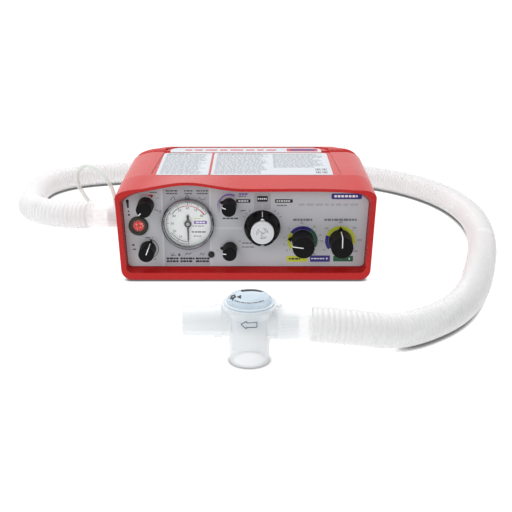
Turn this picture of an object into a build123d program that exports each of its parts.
"""Portable pneumatic transport ventilator with its breathing hose and patient valve.

Frame: millimetres, +X to the right of the control panel, +Y to the rear, +Z up.  The origin is the
centre of the case's footprint, on the surface that the rubber feet stand on.
"""
from build123d import *
import math
import os

os.makedirs("parts", exist_ok=True)

# ---- driving dimensions -------------------------------------------------------------------------
CASE_DEPTH = 162.0
FRONT_Y = -CASE_DEPTH / 2            # front plane of the rim
REAR_Y = CASE_DEPTH / 2
HALF_TOP = 116.7                     # half width at shoulder height
HALF_BOTTOM = 113.6
SHOULDER_Z = 78.0
TOP_Z = 90.0
FEET_PROUD = 1.2                     # the underside stands this high above the surface
REAR_CORNER_R = 28.0
REAR_TOP_R = 3.5
WALL = 3.4
TOP_RIM_WALL = 2.6
CREASE_Y = -42.0                     # where the sloping front of the top meets the flat

PANEL_Y = -73.0                      # front face of the printed overlay
OVERLAY_T = 0.3
PANEL_T = 3.0
PANEL_HALF_TOP = 110.8
PANEL_HALF_BOTTOM = 108.4
PANEL_BOTTOM_Z = 11.5
PANEL_BACK = PANEL_Y + OVERLAY_T + PANEL_T
GASKET_T = 1.5

# rise of the brow over the panel, from left to right: (x, z) of the rim's upper front edge
BROW = [(-93.0, 87.1), (-75.0, 90.6), (-51.0, 93.1), (-30.0, 90.6), (-12.0, 87.9), (10.0, 87.2),
        (60.0, 87.4), (98.0, 85.9)]

GAUGE = (-52.5, 52.5)
GAUGE_BEZEL_R = 23.6
GAUGE_DIAL_R = 21.2
INDICATOR = (-97.4, 50.6)
SILENCE = (-31.9, 22.9)
SELECTOR = (14.9, 48.9)

SHAFT_R = 3.0
SMALL_SHAFT_R = 2.5
RUNNING = 0.05                       # radial clearance of a shaft in its bush

HOSE_OD = 27.0
HOSE_BORE = 22.0
SENSING_OD = 4.0
SENSING_BORE = 2.4
PORT_R = 11.0                        # 22 mm conical connector
PORT_BORE_R = 7.5                    # 15 mm socket inside it
CUFF_R = 12.3
OUTLET_Z = 38.0
VALVE = (4.4, -244.0)
PATIENT_AXIS_Z = 31.5
INLET_AXIS_Z = 29.0

# route of the breathing hose, from the machine cuff round behind the case to the patient valve
HOSE_ROUTE = [
    (-156, 0, 38), (-178.9, 2.4, 38), (-199.6, 12.5, 37.6), (-215.6, 29, 36.2), (-225, 50, 33.2),
    (-232.7, 81, 26.8), (-240.8, 116, 19.6), (-247, 152, 14.8), (-250, 188, 13.6),
    (-243, 220, 13.6), (-221, 247, 13.6), (-184, 264, 13.6), (-122, 275, 13.6),
    (-42, 281, 13.6), (46, 278, 13.6), (116, 264, 13.6), (168, 237, 13.6), (206, 198, 13.6),
    (231, 149, 13.6), (242, 91, 13.6), (240, 32, 13.6), (229, -28, 13.6), (213, -84, 13.6),
    (196, -136, 13.6), (172, -182, 13.6), (139, -214, 14.2), (112, -233, 17.5), (85, -243, 25.5),
    (50, -244, 29)]

# route of the thin pressure tube, from the port on the case's side to the machine cuff
SENSING_ROUTE = [
    (-126, -20, 60), (-128, -19, 71), (-135.5, -16, 82), (-145, -11.5, 89.8), (-154.5, -8.5, 91.2),
    (-162.5, -6.5, 86), (-165, -5.5, 75), (-160.5, -5, 63.5), (-154.5, -4.5, 54)]

# name, (x, z), base radius, front radius, length, pointer reach, clock angle of the pointer
# (degrees clockwise from 12 o'clock), shaft radius
KNOBS = {
    "relief_knob": ((-90.0, 70.3), 7.4, 6.9, 17.5, 2.2, 225.0, SMALL_SHAFT_R),
    "mix_knob": ((-89.6, 28.6), 7.4, 6.9, 17.5, 2.6, 22.0, SMALL_SHAFT_R),
    "flow_knob": ((-14.9, 70.2), 6.7, 6.3, 16.5, 2.4, 292.0, SMALL_SHAFT_R),
    "peep_knob": ((-14.6, 28.6), 6.7, 6.3, 16.5, 2.4, 277.0, SMALL_SHAFT_R),
    "frequency_knob": ((51.7, 36.4), 10.6, 9.8, 21.5, 3.0, 278.0, SHAFT_R),
    "volume_knob": ((86.2, 36.4), 10.6, 9.8, 21.5, 3.0, 0.0, SHAFT_R),
}
KNOB_GAP = 0.5                       # under each knob's skirt
SKIRT_T = 2.2


def save(shape, name):
    export_step(shape, f"parts/{name}.step")


def joined(shapes):
    return Compound(children=[s for shape in shapes for s in shape.solids()])


def facing(x, z, y=PANEL_Y):
    """A place on the control panel: local X is right, local Y is up and local Z is towards the user."""
    return Pos(x, y, z) * Rot(90, 0, 0)


def rod(radius, low, high):
    """A cylinder along Z from low to high."""
    return Pos(0, 0, low) * Cylinder(radius, high - low, align=(Align.CENTER, Align.CENTER, Align.MIN))


def tube(outer, inner, low, high):
    return rod(outer, low, high) - rod(inner, low - 1, high + 1)


def block(x0, x1, y0, y1, z0, z1):
    return Pos((x0 + x1) / 2, (y0 + y1) / 2, (z0 + z1) / 2) * Box(x1 - x0, y1 - y0, z1 - z0)


def clock(angle):
    """Unit direction of a clock angle, degrees clockwise from 12, in the panel's local frame."""
    return math.sin(math.radians(angle)), math.cos(math.radians(angle))


# ---- case ---------------------------------------------------------------------------------------
def section(y, half_bottom, half_top, z_low, shoulder, top_points, r_low, r_high):
    """A closed outline across the case: flat base, leaning sides, rounded shoulders, shaped top."""
    lean = (half_top - half_bottom) / (shoulder - z_low)
    foot = half_bottom + lean * r_low
    left, right = top_points[0], top_points[-1]
    points = [(x, z) for x, z in top_points]
    with BuildPart() as part:
        with BuildSketch(Plane(origin=(0, y, 0), x_dir=(1, 0, 0), z_dir=(0, -1, 0))) as sketch:
            with BuildLine():
                Line((-half_bottom + r_low, z_low), (half_bottom - r_low, z_low))
                RadiusArc((half_bottom - r_low, z_low), (foot, z_low + r_low), -r_low * 1.02)
                Line((foot, z_low + r_low), (half_top, shoulder))
                Bezier((half_top, shoulder), (half_top + lean * r_high, shoulder + r_high * 0.75),
                       (right[0] + r_high, right[1] + 0.04 * r_high), right)
                Spline(*reversed(points))
                Bezier(left, (left[0] - r_high, left[1] - 0.04 * r_high),
                       (-half_top - lean * r_high, shoulder + r_high * 0.75), (-half_top, shoulder))
                Line((-half_top, shoulder), (-foot, z_low + r_low))
                RadiusArc((-foot, z_low + r_low), (-half_bottom + r_low, z_low), -r_low * 1.02)
            make_face()
    return sketch.sketch.face()


def flat_top(half, z):
    """Eight points of a level top edge, placed like those of the brow."""
    return [(x * half / HALF_TOP, z) for x, _ in BROW]


def outer_solid():
    z0 = FEET_PROUD
    front = section(FRONT_Y, HALF_BOTTOM, HALF_TOP, z0, SHOULDER_Z, BROW, 9.5, 9.0)
    crease = section(CREASE_Y, HALF_BOTTOM, HALF_TOP, z0, SHOULDER_Z + 1.5,
                     flat_top(HALF_TOP, TOP_Z), 9.5, 9.0)
    nose = loft([front, crease])
    bend_y = REAR_Y - REAR_CORNER_R
    middle = extrude(crease, amount=bend_y - CREASE_Y, dir=(0, 1, 0))
    sections = []
    for angle in (0, 20, 40, 56, 62, 70, 78, 86):
        turn = math.radians(angle)
        y = bend_y + REAR_CORNER_R * math.sin(turn)
        pull_in = REAR_CORNER_R * (1 - math.cos(turn))
        over = max(0.0, y - (REAR_Y - REAR_TOP_R))
        drop = REAR_TOP_R - math.sqrt(max(0.0, REAR_TOP_R**2 - over**2))
        sections.append(section(y, HALF_BOTTOM - pull_in, HALF_TOP - pull_in, z0 + drop * 0.4,
                                SHOULDER_Z + 1.5 - drop, flat_top(HALF_TOP - pull_in, TOP_Z - drop),
                                9.5, 9.0))
    rear = loft(sections)
    return nose + middle + rear


def panel_outline(inset, y, grow_z=0.0):
    """The panel's own outline, pulled in by inset, as a face looking towards the user."""
    top = [(x * 0.985, z - 4.6 - inset) for x, z in BROW]
    return section(y, PANEL_HALF_BOTTOM - inset, PANEL_HALF_TOP - inset,
                   PANEL_BOTTOM_Z + inset - grow_z, 72.0, top, 4.0, 6.0)


def slab(face, depth):
    return extrude(face, amount=depth, dir=(0, 1, 0))


case = outer_solid()
# the funnel of the rim, from its front edge back to the panel
mouth = section(FRONT_Y - 0.01, HALF_BOTTOM - 4.6, HALF_TOP - 4.2, 7.9, SHOULDER_Z - 4,
                [(x * 0.99, z - TOP_RIM_WALL) for x, z in BROW], 5.0, 7.0)
case -= loft([mouth, panel_outline(-0.25, PANEL_Y)])
POCKET_BACK = PANEL_BACK + GASKET_T
case -= slab(panel_outline(-0.25, PANEL_Y - 0.01), POCKET_BACK - PANEL_Y + 0.01)
case -= slab(panel_outline(3.5, POCKET_BACK - 0.01), 5.0)
CAVITY_FRONT = POCKET_BACK + 3.0
cavity_width = 2 * (HALF_BOTTOM - WALL - 1.0)
cavity_plan = Pos(0, (CAVITY_FRONT + REAR_Y - WALL) / 2, 0) * Rectangle(
    cavity_width, REAR_Y - WALL - CAVITY_FRONT)
cavity_plan = fillet(cavity_plan.vertices().filter_by(lambda v: v.Y > 0), REAR_CORNER_R - WALL)
CAVITY_Z = (FEET_PROUD + 3.2, TOP_Z - 7.4)
case -= Pos(0, 0, CAVITY_Z[0]) * extrude(cavity_plan, amount=CAVITY_Z[1] - CAVITY_Z[0])

# shallow recess in the top that frames the labels
RECESS_FRONT_HALF = 89.0
RECESS_REAR_HALF = 84.0
RECESS_Y = (-43.0, 76.4)
RECESS_DEPTH = 0.8
recess = make_face(Polyline((-RECESS_FRONT_HALF, RECESS_Y[0]), (RECESS_FRONT_HALF, RECESS_Y[0]),
                            (RECESS_REAR_HALF, RECESS_Y[1]), (-RECESS_REAR_HALF, RECESS_Y[1]),
                            close=True))
recess = fillet(recess.vertices().group_by(Axis.Y)[-1], 14.0)
recess = fillet(recess.vertices().group_by(Axis.Y)[0], 7.0)
case -= Pos(0, 0, TOP_Z - RECESS_DEPTH) * extrude(recess, amount=5)

# side ports, rear inlet, rear screws, battery bay, feet pockets and underside inserts
SIDE_X = -(HALF_BOTTOM + (HALF_TOP - HALF_BOTTOM) * OUTLET_Z / SHOULDER_Z)
OUTLET_FLANGE_R = 15.0
SENSING_PORT = (-20.0, 51.5)         # y, z on the left side
INLET = (52.0, 56.0)                 # x, z on the rear wall
INLET_R = 9.0
SCREWS = [(-80.0, 17.0), (80.0, 17.0), (-80.0, 74.0), (80.0, 74.0)]
FEET = [(sx * 84.0, sy * 58.0) for sx in (-1, 1) for sy in (-1, 1)]
FOOT_R = 8.0
INSERTS = [(sx * 60.0, sy * 40.0) for sx in (-1, 1) for sy in (-1, 1)]
INSERT_R = 3.0
INSERT_HOLE_R = 1.65
BAY_X = (-66.0, -4.0)
BAY_Z = (15.0, 37.0)
COVER_T = 2.2
cover_z = (BAY_Z[0] - 1.6, BAY_Z[1] + 1.6)
PIVOT_R = 0.7


def along_x(x, y, z):
    """Local +Z points out of the left side of the case."""
    return Pos(x, y, z) * Rot(0, -90, 0)


def along_rear(x, z, y=REAR_Y):
    """Local +Z points out of the rear wall."""
    return Pos(x, y, z) * Rot(-90, 0, 0)


case -= along_x(-100, 0, OUTLET_Z) * rod(PORT_R, 0, 30)
case -= along_x(-100, *SENSING_PORT) * rod(4.0, 0, 30)
case -= along_rear(*INLET) * rod(INLET_R, -20, 5)
for x, z in SCREWS:
    case -= along_rear(x, z) * (rod(2.2, -20, 5) + rod(4.2, -2.0, 5))
case -= block(BAY_X[0] - 2, BAY_X[1] + 2, REAR_Y - 2.6, REAR_Y + 5, BAY_Z[0] - 2, BAY_Z[1] + 2)
case -= block(*BAY_X, REAR_Y - 20, REAR_Y + 5, *BAY_Z)
pivot_holes = Pos(BAY_X[0] - 4, REAR_Y - COVER_T / 2, cover_z[0] + COVER_T / 2) * Rot(0, 90, 0)
case -= pivot_holes * rod(PIVOT_R + RUNNING, 0, BAY_X[1] - BAY_X[0] + 8)
for x, y in FEET:
    case -= Pos(x, y, 0) * rod(FOOT_R + 0.3, 0, FEET_PROUD + 1.4)
for x, y in INSERTS:
    case += Pos(x, y, 0) * rod(6.0, FEET_PROUD, 11.0)
    case -= Pos(x, y, 0) * rod(INSERT_R, 0, 8.2)
save(case, "outer_case")

feet = [Pos(x, y, 0) * (rod(FOOT_R, 0, FEET_PROUD + 1.4)) for x, y in FEET]
feet = [fillet(f.edges().group_by(Axis.Z)[0], 0.8) for f in feet]
save(joined(feet), "rubber_feet")
save(joined([Pos(x, y, 0) * tube(INSERT_R, INSERT_HOLE_R, FEET_PROUD + 0.2, 8.2) for x, y in INSERTS]),
     "bracket_inserts")

rear_screws = []
for x, z in SCREWS:
    screw = rod(4.0, -2.0, -0.2) + rod(2.0, -12.0, -1.9)
    screw -= block(-2.6, 2.6, -0.5, 0.5, -1.1, 1) + block(-0.5, 0.5, -2.6, 2.6, -1.1, 1)
    rear_screws.append(along_rear(x, z) * screw)
save(joined(rear_screws), "rear_screws")

# ---- labels on top ------------------------------------------------------------------------------
LABEL_T = 0.35
LABEL_Y = (-39.5, 50.0)
LABEL_Z = TOP_Z - RECESS_DEPTH


def label(x0, x1, y0, y1, radii):
    """A thin plate with its own radius at each corner: front left, front right, rear right, rear left."""
    plate = Pos((x0 + x1) / 2, (y0 + y1) / 2, 0) * Rectangle(x1 - x0, y1 - y0)
    spots = [(x0, y0), (x1, y0), (x1, y1), (x0, y1)]
    for (x, y), radius in zip(spots, radii):
        corner = plate.vertices().sort_by_distance((x, y, 0))[0]
        plate = fillet(corner, radius)
    return Pos(0, 0, LABEL_Z) * extrude(plate, amount=LABEL_T)


left_label = label(-84.0, -35.2, *LABEL_Y, (1.5, 1.0, 1.0, 5.0))
right_label = label(-33.0, 81.0, *LABEL_Y, (1.0, 1.5, 5.0, 1.0))
header_strip = label(-79.0, 76.5, 53.2, 74.4, (2.0, 2.0, 11.0, 11.0))
save(joined([left_label, right_label, header_strip]), "top_labels")

# ---- control panel ------------------------------------------------------------------------------
knob_spots = {name: data[0] for name, data in KNOBS.items()}
BUSH_R = {SMALL_SHAFT_R: 4.0, SHAFT_R: 4.6}
SELECTOR_BUSH_R = 7.0

holes = []
for name, (spot, *_, shaft_r) in KNOBS.items():
    holes.append((spot, BUSH_R[shaft_r]))
holes.append((SELECTOR, SELECTOR_BUSH_R))
holes.append((SILENCE, 3.1))
GAUGE_CASE_R = 22.2
INDICATOR_R = 7.2
holes.append((GAUGE, GAUGE_CASE_R))
holes.append((INDICATOR, INDICATOR_R))


def drilled(plate):
    for (x, z), radius in holes:
        plate -= facing(x, z) * rod(radius, -12, 3)
    return plate


save(drilled(slab(panel_outline(0.0, PANEL_Y), OVERLAY_T)), "front_overlay")
save(drilled(slab(panel_outline(0.0, PANEL_Y + OVERLAY_T), PANEL_T)), "front_panel")
gasket = slab(panel_outline(0.0, PANEL_BACK), GASKET_T) - slab(panel_outline(3.5, PANEL_BACK - 1), 4)
save(gasket, "panel_gasket")

# ---- knobs, shafts and bushes -------------------------------------------------------------------
SHAFT_BACK = 26.0                    # shaft's inner end behind the panel's face


def knob_body(base_r, front_r, length, tip, angle, shaft_r):
    """A tapered finger knob, slightly domed, with a pointer at the foot of its skirt."""
    body = extrude(Circle(base_r), amount=length, taper=math.degrees(math.atan2(base_r - front_r, length)))
    body = fillet(body.edges().group_by(Axis.Z)[-1], 1.0)
    dx, dy = clock(angle)
    nx, ny = dy, -dx
    reach, root, spread = base_r + tip, base_r * 0.55, base_r * 0.5
    wedge = make_face(Polyline((dx * reach, dy * reach), (dx * root + nx * spread, dy * root + ny * spread),
                               (dx * root - nx * spread, dy * root - ny * spread), close=True))
    body += extrude(wedge, amount=SKIRT_T)
    body -= rod(BUSH_R[shaft_r] + 0.8, -1, 2.2)
    return body - rod(shaft_r, -1, length - 4)


bushes, nuts, small_cartridges, timing_cartridges = [], [], [], []
for name, ((x, z), base_r, front_r, length, tip, angle, shaft_r) in KNOBS.items():
    place = facing(x, z)
    knob = Pos(0, 0, KNOB_GAP) * knob_body(base_r, front_r, length, tip, angle, shaft_r)
    save(place * knob, name)
    shaft = rod(shaft_r, -SHAFT_BACK, KNOB_GAP + length - 4)
    save(place * shaft, name.replace("knob", "shaft"))
    bush_r = BUSH_R[shaft_r]
    bushes.append(place * tube(bush_r, shaft_r + RUNNING, -10.0, 1.0))
    nut = Pos(0, 0, -6.5) * extrude(RegularPolygon(bush_r + 2.6, 6), amount=2.4)
    nuts.append(place * (nut - rod(bush_r, -10, 0)))
    if shaft_r == SMALL_SHAFT_R:
        cup = rod(7.5, -34, -10) - rod(shaft_r + 0.4, -SHAFT_BACK - 1, 0)
        small_cartridges.append(place * cup)
    else:
        cup = rod(11.5, -42, -10) - rod(shaft_r + 0.4, -SHAFT_BACK - 1, 0)
        timing_cartridges.append(place * cup)

# selector knob: fluted, with a hollow centre that guides the trigger button
SEL_R, SEL_FRONT_R, SEL_LENGTH = 16.5, 13.6, 13.0
CAP_R, CAP_PROUD, TRIGGER_TRAVEL = 10.5, 3.6, 3.0
SEL_SHAFT_R, TRIGGER_STEM_R = 5.5, 2.0
sel_place = facing(*SELECTOR)
selector = extrude(Circle(SEL_R), amount=SEL_LENGTH,
                   taper=math.degrees(math.atan2(SEL_R - SEL_FRONT_R, SEL_LENGTH)))
selector = fillet(selector.edges().group_by(Axis.Z)[-1], 1.2)
FLUTES = 7
FLUTE_R, FLUTE_OUT, FLUTE_FOOT = 2.6, 1.3, 3.0
flute_lean = (SEL_R - SEL_FRONT_R) / SEL_LENGTH
for k in range(FLUTES):
    dx, dy = clock((k + 0.5) * 360 / FLUTES)
    reach = SEL_R - flute_lean * FLUTE_FOOT + FLUTE_OUT
    groove = Plane(origin=(dx * reach, dy * reach, FLUTE_FOOT),
                   z_dir=(-dx * flute_lean, -dy * flute_lean, 1)) * rod(FLUTE_R, 0, SEL_LENGTH)
    selector -= groove
selector -= rod(CAP_R + 0.3, SEL_LENGTH - 5.5, SEL_LENGTH + 1)
selector -= rod(SELECTOR_BUSH_R + 0.8, -1, 2.4)
selector -= rod(SEL_SHAFT_R, -1, 6.0)
selector -= rod(TRIGGER_STEM_R + 0.3, -1, SEL_LENGTH + 1)
save(sel_place * Pos(0, 0, KNOB_GAP) * selector, "selector_knob")
sel_shaft = tube(SEL_SHAFT_R, TRIGGER_STEM_R + 0.3, -24, KNOB_GAP + 6.0)
save(sel_place * sel_shaft, "selector_shaft")
bushes.append(sel_place * tube(SELECTOR_BUSH_R, SEL_SHAFT_R + RUNNING, -10, 1.0))
sel_nut = Pos(0, 0, -6.5) * extrude(RegularPolygon(SELECTOR_BUSH_R + 2.8, 6), amount=2.4)
nuts.append(sel_place * (sel_nut - rod(SELECTOR_BUSH_R, -10, 0)))
selector_valve = rod(19.0, -44, -10) - rod(SEL_SHAFT_R + 0.4, -25, 0) - rod(TRIGGER_STEM_R + 0.4, -40, 0)
save(sel_place * selector_valve, "selector_valve")

cap_back = KNOB_GAP + SEL_LENGTH + CAP_PROUD - 5.0
button = rod(CAP_R, cap_back, cap_back + 5.0)
button = fillet(button.edges().group_by(Axis.Z)[-1], 0.9)
button += rod(TRIGGER_STEM_R, -30, cap_back + 0.5)
save(sel_place * button, "trigger_button")


def coil(radius, wire, turns, low, high):
    """A compression spring along Z, its ends within low and high."""
    height = high - low - wire
    path = Helix(pitch=height / turns, height=height, radius=radius)
    path = Pos(0, 0, low + wire / 2) * path
    profile = Plane(origin=path @ 0, z_dir=path % 0) * Circle(wire / 2)
    return sweep(profile, path=path, is_frenet=True)


save(sel_place * coil(4.5, 0.8, 3, KNOB_GAP + SEL_LENGTH - 5.4, cap_back - 0.1), "trigger_spring")

save(joined(bushes), "shaft_bushes")
save(joined(nuts), "bush_nuts")
save(joined(small_cartridges), "needle_valve_cartridges")
save(joined(timing_cartridges), "timing_valve_cartridges")

# ---- pressure gauge -----------------------------------------------------------------------------
gauge_place = facing(*GAUGE)
cup = rod(GAUGE_CASE_R, -24, -0.1) - rod(GAUGE_CASE_R - 0.9, -22.5, 1)
save(gauge_place * cup, "gauge_case")
BEZEL_PROUD = 4.6
bezel = tube(GAUGE_BEZEL_R, GAUGE_DIAL_R, 0.05, BEZEL_PROUD)
bezel = chamfer(bezel.edges().group_by(Axis.Z)[-1], 1.1)
bezel -= rod(GAUGE_DIAL_R + 0.6, 2.6, 3.6)
save(gauge_place * bezel, "gauge_bezel")
save(gauge_place * rod(GAUGE_DIAL_R + 0.6, 2.6, 3.6), "gauge_lens")
dial = tube(GAUGE_DIAL_R + 0.05, 1.5, -0.9, -0.4)
save(gauge_place * dial, "gauge_dial")
NEEDLE_LENGTH, NEEDLE_TAIL = 17.0, 8.5
blade = make_face(Polyline((-0.9, 0), (-0.35, -NEEDLE_LENGTH), (0.35, -NEEDLE_LENGTH), (0.9, 0),
                           (1.1, NEEDLE_TAIL - 1), (0.6, NEEDLE_TAIL), (-0.6, NEEDLE_TAIL),
                           (-1.1, NEEDLE_TAIL - 1), close=True))
needle = Pos(0, 0, 0.7) * extrude(blade, amount=0.4)
needle += rod(3.2, 0.7, 1.5) + rod(1.0, -14, 1.0)
save(gauge_place * needle, "gauge_needle")
capsule = rod(14, -20, -8) - rod(1.0 + RUNNING, -16, 0)
capsule += rod(4, -21.9, -19.9)
save(gauge_place * capsule, "gauge_capsule")

# ---- supply indicator ---------------------------------------------------------------------------
ind_place = facing(*INDICATOR)
IND_RING_R, IND_WINDOW_R = 8.9, 6.0
ring = tube(IND_RING_R, IND_WINDOW_R, 0.05, 2.2)
ring = fillet(ring.edges().group_by(Axis.Z)[-1].sort_by(SortBy.LENGTH)[-1], 1.2)
ring += tube(INDICATOR_R, IND_WINDOW_R, -14, 0.2)
save(ind_place * ring, "indicator_ring")
save(ind_place * rod(IND_WINDOW_R, 0.4, 1.5), "indicator_lens")
DISC_TRAVEL = 3.0
disc = rod(IND_WINDOW_R - 0.3, -1.6, 0.1 - 0.2) + rod(1.5, -16, -1.5)
save(ind_place * disc, "indicator_disc")
ind_cup = rod(9.0, -22, -14) - rod(IND_WINDOW_R - 0.4, -18, 0) - rod(1.9, -21, 0)
save(ind_place * ind_cup, "indicator_cylinder")
save(ind_place * coil(3.6, 0.7, 4, -13.9, -1.7), "indicator_spring")

# ---- alarm board, silence button and lamps ------------------------------------------------------
sil_place = facing(*SILENCE)
SILENCE_R, SILENCE_TRAVEL = 2.8, 1.2
silence = rod(SILENCE_R, -6.0, 1.4)
silence = fillet(silence.edges().group_by(Axis.Z)[-1], 0.6)
save(sil_place * silence, "silence_button")
switch = block(-4, 4, -4, 4, -13, -7.6)
save(sil_place * switch, "silence_switch")
board_front = PANEL_Y + 13.1
board = block(SILENCE[0] - 6.5, SILENCE[0] + 6.5, board_front, board_front + 1.6, 13, 31)
save(board, "alarm_board")

# ---- gas path inside the case -------------------------------------------------------------------
MANIFOLD_Y = (-26.0, 14.0)
manifold = block(-104, 104, *MANIFOLD_Y, 12, 34)
manifold += block(-60, 70, MANIFOLD_Y[0], MANIFOLD_Y[1] - 8, 33, 62)
manifold -= along_x(-80, 0, OUTLET_Z) * rod(PORT_R + 0.3, 0, 40)
save(manifold, "manifold_block")
chassis_plan = Pos(0, 5, 0) * Rectangle(214, 134)
chassis_plan = fillet(chassis_plan.vertices().filter_by(lambda v: v.Y > 0), REAR_CORNER_R - WALL)
chassis = Pos(0, 0, 6.0) * extrude(chassis_plan, amount=2.0)
for x, y in INSERTS:
    chassis -= Pos(x, y, 0) * rod(7.0, 0, 14)
for sx in (-1, 1):
    chassis += block(sx * 96 - 6, sx * 96 + 6, -20, 8, 7.9, 12.0)
    chassis += block(sx * 80 - 7, sx * 80 + 7, 70.0, 72.0, 7.9, 80.0)
for x, z in SCREWS:
    chassis -= along_rear(x, z) * rod(2.05, -20, 0)
save(chassis, "chassis_plate")

outlet = tube(PORT_R, PORT_BORE_R + 0.5, -16, 36)
save(along_x(-100, 0, OUTLET_Z) * outlet, "outlet_port")

lean = (Vector(*SENSING_ROUTE[1]) - Vector(*SENSING_ROUTE[0])).normalized()
spout = Plane(origin=SENSING_ROUTE[0], z_dir=lean)
SPOUT = 8.6
knee = Vector(*SENSING_ROUTE[0]) - lean * SPOUT
sensing = along_x(-104, *SENSING_PORT) * (rod(4.0, 0, 12.5) + rod(5.2, 12.0, 15.5)
                                          + rod(2.8, 15.4, -104 - knee.X))
sensing += Pos(knee.X, knee.Y, SENSING_PORT[1]) * Sphere(2.8)
sensing += spout * rod(2.8, -SPOUT, 0)
save(sensing, "sensing_port")

inlet = rod(INLET_R, -14, 3.0) + rod(8.0, 2.9, 15.0)
inlet += Pos(0, 0, 3.0) * extrude(RegularPolygon(12.0, 6), amount=5.0)
inlet -= rod(3.5, -20, 20)
save(along_rear(*INLET) * inlet, "gas_inlet")
regulator = rod(14.0, -46, -14.2) - rod(3.5, -20, 0)
save(along_rear(*INLET) * regulator, "pressure_regulator")
save(along_rear(*INLET) * tube(3.4, 1.6, -19.5, -8), "inlet_filter")

# ---- battery bay --------------------------------------------------------------------------------
DOOR_AXIS = (REAR_Y - COVER_T / 2, cover_z[0] + COVER_T / 2)
door_width = BAY_X[1] - BAY_X[0] + 3.2
cover = block(BAY_X[0] - 1.6, BAY_X[1] + 1.6, REAR_Y - COVER_T, REAR_Y, DOOR_AXIS[1], cover_z[1])
top_corners = cover.edges().filter_by(Axis.Y).group_by(Axis.Z)[-1]
cover = fillet(top_corners, 1.0)
on_hinge = Pos(BAY_X[0] - 1.6, *DOOR_AXIS) * Rot(0, 90, 0)
cover += on_hinge * (rod(COVER_T / 2, 0, door_width) + rod(PIVOT_R, -1.4, door_width + 1.4))
finger_groove = Pos(sum(BAY_X) / 2 - 7, REAR_Y, cover_z[1] - 3.0) * Rot(0, 90, 0) * rod(1.2, 0, 14)
cover -= finger_groove
save(cover, "battery_cover")
holder = block(BAY_X[0] + 0.4, BAY_X[1] - 0.4, 56, REAR_Y - COVER_T - 0.9, BAY_Z[0] + 0.4, BAY_Z[1] - 0.4)
holder -= block(BAY_X[0] + 2, BAY_X[1] - 2, 58, REAR_Y, BAY_Z[0] + 2, BAY_Z[1] - 2)
save(holder, "battery_holder")
CELL_R, CELL_LENGTH = 7.1, 50.5
cell_y = 58 + CELL_R + 0.6
cell = rod(CELL_R, 0, CELL_LENGTH - 1) + rod(2.7, 0, CELL_LENGTH)
cell_middle = Pos(sum(BAY_X) / 2 + CELL_LENGTH / 2, cell_y + 0.6, sum(BAY_Z) / 2)
save(cell_middle * Rot(0, -90, 0) * cell, "battery")

# ---- patient valve ------------------------------------------------------------------------------
valve_place = Pos(*VALVE, 0)
profile = Polyline((0, 26), (13.4, 26), (13.4, 0), (15.0, 0), (15.0, 14), (15.3, 14.4), (16.2, 37.0),
                   (17.4, 40.6), (18.2, 42.7), (20.0, 43.4), (20.0, 45.8), (15.8, 45.8), (15.8, 39.6),
                   (13.9, 35.5), (13.9, 28.0), (0, 28.0), close=True)
shell = revolve(make_face(Plane.XZ * profile), Axis.Z)
patient_port = rod(PORT_R, 13.0, 48.8) + rod(12.35, 20.4, 25.4)
inlet_port = rod(PORT_R, 13.0, 36.0)
to_patient = Pos(0, 0, PATIENT_AXIS_Z) * Rot(0, -90, 0)
from_hose = Pos(0, 0, INLET_AXIS_Z) * Rot(0, 90, 0)
branches = to_patient * patient_port + from_hose * inlet_port
shell += branches - rod(14.2, 0, 60) - rod(15.8, 39.6, 60)
shell += fillet(block(18.6, 23.8, -2.6, 2.6, 42.6, 45.4).edges().filter_by(Axis.Z), 1.0)
shell -= to_patient * rod(PORT_BORE_R, 10, 60)
shell -= from_hose * rod(PORT_BORE_R + 1.5, 10, 60)
for k in range(6):
    dx, dy = clock(30 + k * 60)
    shell -= Pos(dx * 8, dy * 8, 0) * rod(2.6, 24, 30)
save(valve_place * shell, "valve_body")
cap_outline = Polyline((0, 45.9), (18.6, 45.9), (18.6, 47.0), (16.4, 47.2), (16.0, 49.4), (14.2, 51.2),
                       (10.0, 52.4), (0, 52.8), close=True)
cap = revolve(make_face(Plane.XZ * cap_outline), Axis.Z)
cap += tube(15.5, 14.4, 41.0, 46.2)
cap += rod(3.0, 40.5, 46.2)
save(valve_place * cap, "valve_cap")
DISC_REST_Z = 29.2
flap = rod(12.0, DISC_REST_Z, DISC_REST_Z + 1.4)
save(valve_place * flap, "valve_disc")

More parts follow.
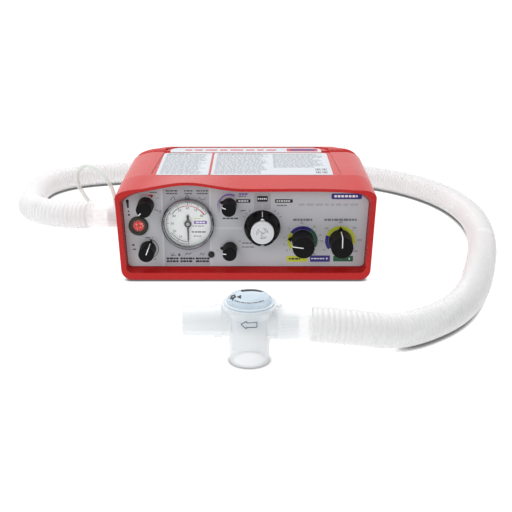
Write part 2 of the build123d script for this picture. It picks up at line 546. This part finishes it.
# ---- cuffs --------------------------------------------------------------------------------------
machine_cuff = along_x(-119, 0, OUTLET_Z) * tube(CUFF_R, PORT_R, 0, 37.0)
machine_cuff += along_x(-119, 0, OUTLET_Z) * tube(CUFF_R + 0.9, PORT_R, 0, 3.5)
arriving = Vector(*SENSING_ROUTE[-1]) - Vector(*SENSING_ROUTE[-2])
machine_cuff += Plane(origin=SENSING_ROUTE[-1], z_dir=arriving) * rod(2.7, 0, 9)
machine_cuff -= along_x(-119, 0, OUTLET_Z) * rod(PORT_R, -1, 40)
save(machine_cuff, "machine_cuff")
valve_cuff_start = VALVE[0] + 20.6
valve_cuff_end = HOSE_ROUTE[-1][0]
valve_cuff = Pos(0, VALVE[1], INLET_AXIS_Z) * Rot(0, 90, 0) * (
    tube(CUFF_R, PORT_R, valve_cuff_start, valve_cuff_end)
    + tube(CUFF_R + 0.9, PORT_R, valve_cuff_start, valve_cuff_start + 3.5))
save(valve_cuff, "valve_cuff")


# ---- hose and tube ------------------------------------------------------------------------------
def cord(route, diameter, name, bore=None):
    """A tube along straight runs joined by tangent arcs, each as large as its two runs allow."""
    points = [Vector(*p) for p in route]
    radii = []
    for before, at, after in zip(points, points[1:], points[2:]):
        shorter = min((at - before).length, (after - at).length)
        turn = (at - before).get_angle(after - at)
        radii.append(0.45 * shorter / math.tan(math.radians(turn / 2)))
    path = FilletPolyline(*points, radius=radii)
    start = Plane(origin=path @ 0, z_dir=path % 0)
    ring_face = start * Circle(diameter / 2)
    area = math.pi * diameter**2 / 4
    solid = sweep(ring_face, path=path)
    if bore:
        solid -= sweep(start * Circle(bore / 2), path=path)
        area -= math.pi * bore**2 / 4
    print(name, "radii", [round(r) for r in radii], "least", round(min(radii), 1), "diameter", diameter)
    print(name, "length", round(path.length, 1), "volume ratio",
          round(solid.volume / (area * path.length), 4))
    return solid


save(cord(HOSE_ROUTE, HOSE_OD, "breathing_hose", HOSE_BORE), "breathing_hose")
save(cord(SENSING_ROUTE, SENSING_OD, "sensing_tube"), "sensing_tube")
